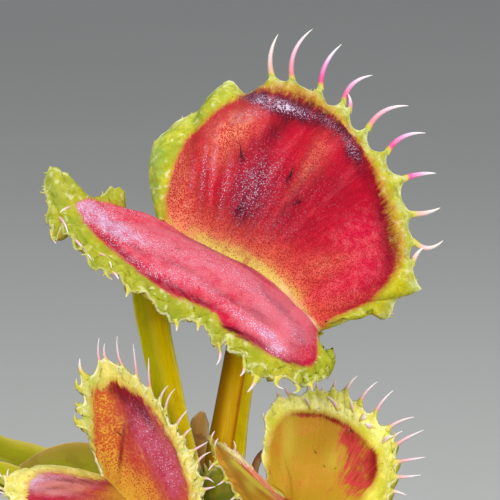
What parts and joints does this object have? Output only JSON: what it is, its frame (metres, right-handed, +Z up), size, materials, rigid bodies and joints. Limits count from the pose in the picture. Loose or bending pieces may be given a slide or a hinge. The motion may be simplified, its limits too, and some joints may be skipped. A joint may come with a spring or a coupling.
{
  "type": "potted venus flytrap",
  "caption": "Venus flytrap with open red and ochre toothed traps on golden winged stalks, rooted in a domed bed of soil in a plain tapered round pot.",
  "frame": {"origin": "middle of the pot's flat underside", "axes": "+Z up along the pot's axis, -Y towards the side the open large trap faces, +X to the right seen from there"},
  "size_m": [0.0792, 0.0792, 0.1258],
  "materials": {
    "pot_plastic": "moulded black nursery plastic, satin",
    "soil": "moist peat with moss and perlite",
    "rhizome": "pale fleshy bulb with dark roots",
    "petiole_green": "waxy golden green leaf stalk",
    "trap_red": "moist crimson leaf with a lime rim",
    "trap_ochre": "satin ochre leaf with a lime rim",
    "young_leaf": "soft tan young leaf",
    "dead_stalk": "dry brown stalk"
  },
  "bodies": {
    "root": {"pot": "pot_plastic", "soil": "soil", "rhizome": "rhizome", "petiole_large": "petiole_green", "petiole_rear": "petiole_green", "petiole_left": "petiole_green", "petiole_right": "petiole_green", "petiole_small": "petiole_green", "petiole_far_left": "petiole_green", "petiole_winged": "petiole_green", "petiole_near_left": "petiole_green", "petiole_far_right": "petiole_green", "petiole_front": "petiole_green", "petiole_back": "petiole_green", "trap_large": "trap_red", "trap_rear": "trap_red", "trap_left": "trap_red", "trap_right": "trap_ochre", "trap_small": "trap_ochre", "trap_far_left": "trap_ochre", "trap_winged": "trap_ochre", "trap_near_left": "trap_ochre", "trap_far_right": "trap_ochre", "trap_front": "trap_ochre", "trap_back": "trap_ochre", "young_leaf": "young_leaf", "dead_stalk": "dead_stalk"}
  },
  "joints": []
}
